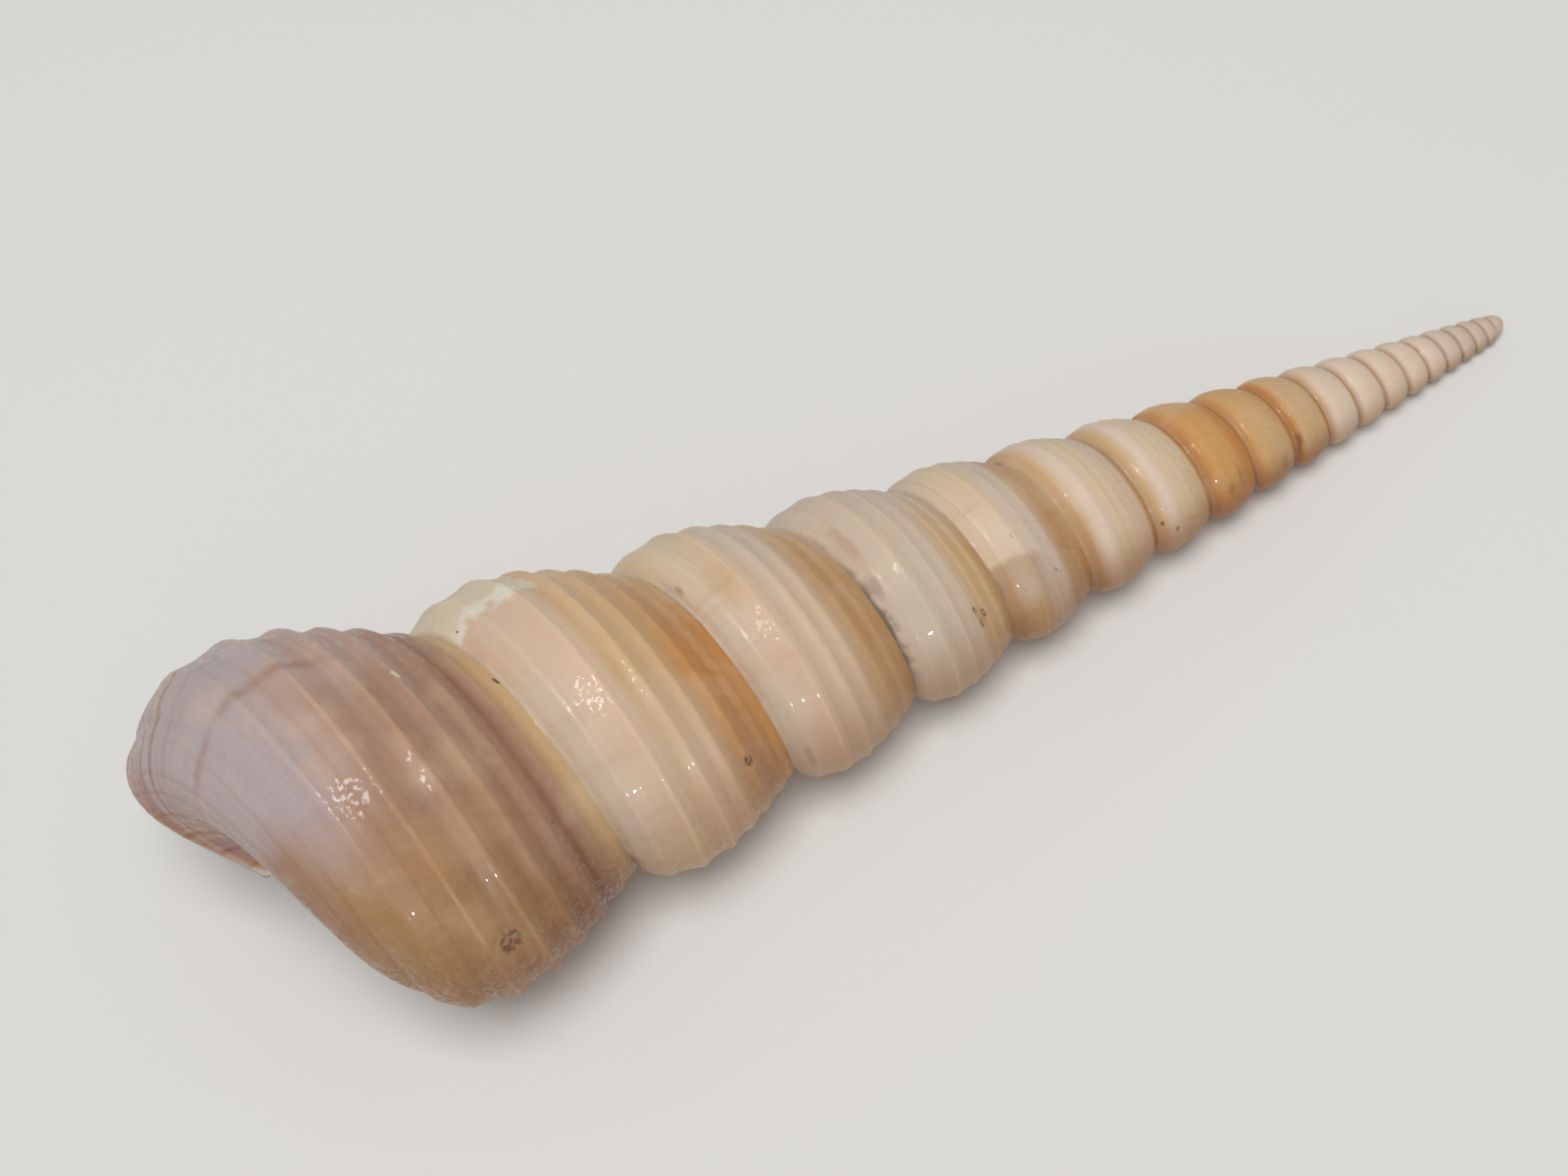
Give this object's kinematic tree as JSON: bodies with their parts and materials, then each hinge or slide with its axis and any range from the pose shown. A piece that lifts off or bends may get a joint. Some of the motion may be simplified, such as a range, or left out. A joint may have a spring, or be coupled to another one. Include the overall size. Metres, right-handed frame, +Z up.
{
  "type": "turret shell",
  "caption": "Tall, slender, right-handed turret sea-snail shell: convex whorls with spiral cords, a sharp tip and an open round mouth, lying on its side.",
  "frame": {"origin": "middle of the bottom of the shell's bounding box, on the surface it lies on", "axes": "+X from the mouth end towards the tip, +Z up, +Y to the left looking towards the tip; the spire leans 8.5 degrees tip down and the mouth opens down, towards -Z"},
  "size_m": [0.1226, 0.0354, 0.0347],
  "materials": {
    "shell": "naturally glossy aragonite, orange-tan to pale lilac cream, with furrows in brown"
  },
  "bodies": {
    "root": {"turret_shell": "shell"}
  },
  "joints": []
}
